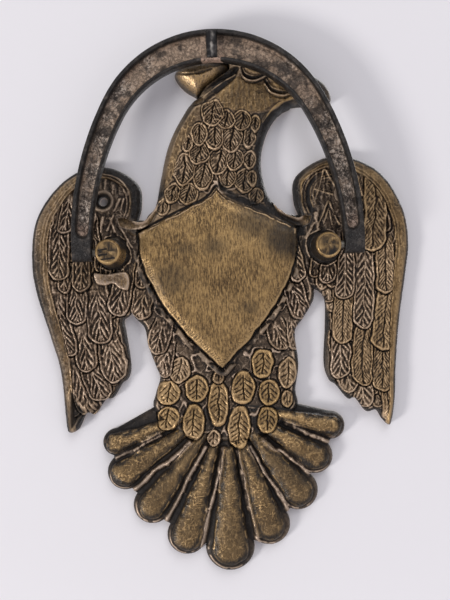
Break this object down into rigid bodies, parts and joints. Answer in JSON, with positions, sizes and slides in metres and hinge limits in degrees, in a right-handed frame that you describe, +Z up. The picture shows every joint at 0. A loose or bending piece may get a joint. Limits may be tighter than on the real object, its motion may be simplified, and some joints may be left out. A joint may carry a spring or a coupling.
{
  "type": "door knocker",
  "caption": "Aged cast-brass eagle plate with a breast shield and fan tail, and a hollow-backed bail that swings on two side posts to knock.",
  "frame": {"origin": "on the door face, midway between the two pivot posts, at the height of the pivot pins", "axes": "+Z up the door; +Y into the door, out of the flat back of the plate, so the visitor stands at -Y; +X to the visitor's right"},
  "size_m": [0.1896, 0.026, 0.2677],
  "materials": {
    "plate_brass": "aged cast brass, dark in the recesses and rubbed bright on the high places",
    "bail_brass": "rough as-cast brass, pitted in the hollow, charcoal on the rims",
    "striker_metal": "dark filed bar with pinkish braze",
    "post_brass": "turned brass, dark at the foot and worn bright on the face",
    "pin_steel": "dull steel",
    "fixing_steel": "dull zinc-grey steel"
  },
  "bodies": {
    "plate": {"eagle_plate": "plate_brass", "left_pivot_post": "post_brass", "right_pivot_post": "post_brass", "left_pivot_pin": "pin_steel", "right_pivot_pin": "pin_steel", "left_post_washer": "fixing_steel", "right_post_washer": "fixing_steel", "left_post_nut": "fixing_steel", "right_post_nut": "fixing_steel"},
    "bail": {"bail": "bail_brass", "striker_bar": "striker_metal"}
  },
  "joints": [
    {"name": "bail_swing", "type": "hinge", "parent": "plate", "child": "bail", "pos_m": [0, -0.02, 0], "axis": [1, 0, 0], "range_deg": [0, 186]}
  ]
}
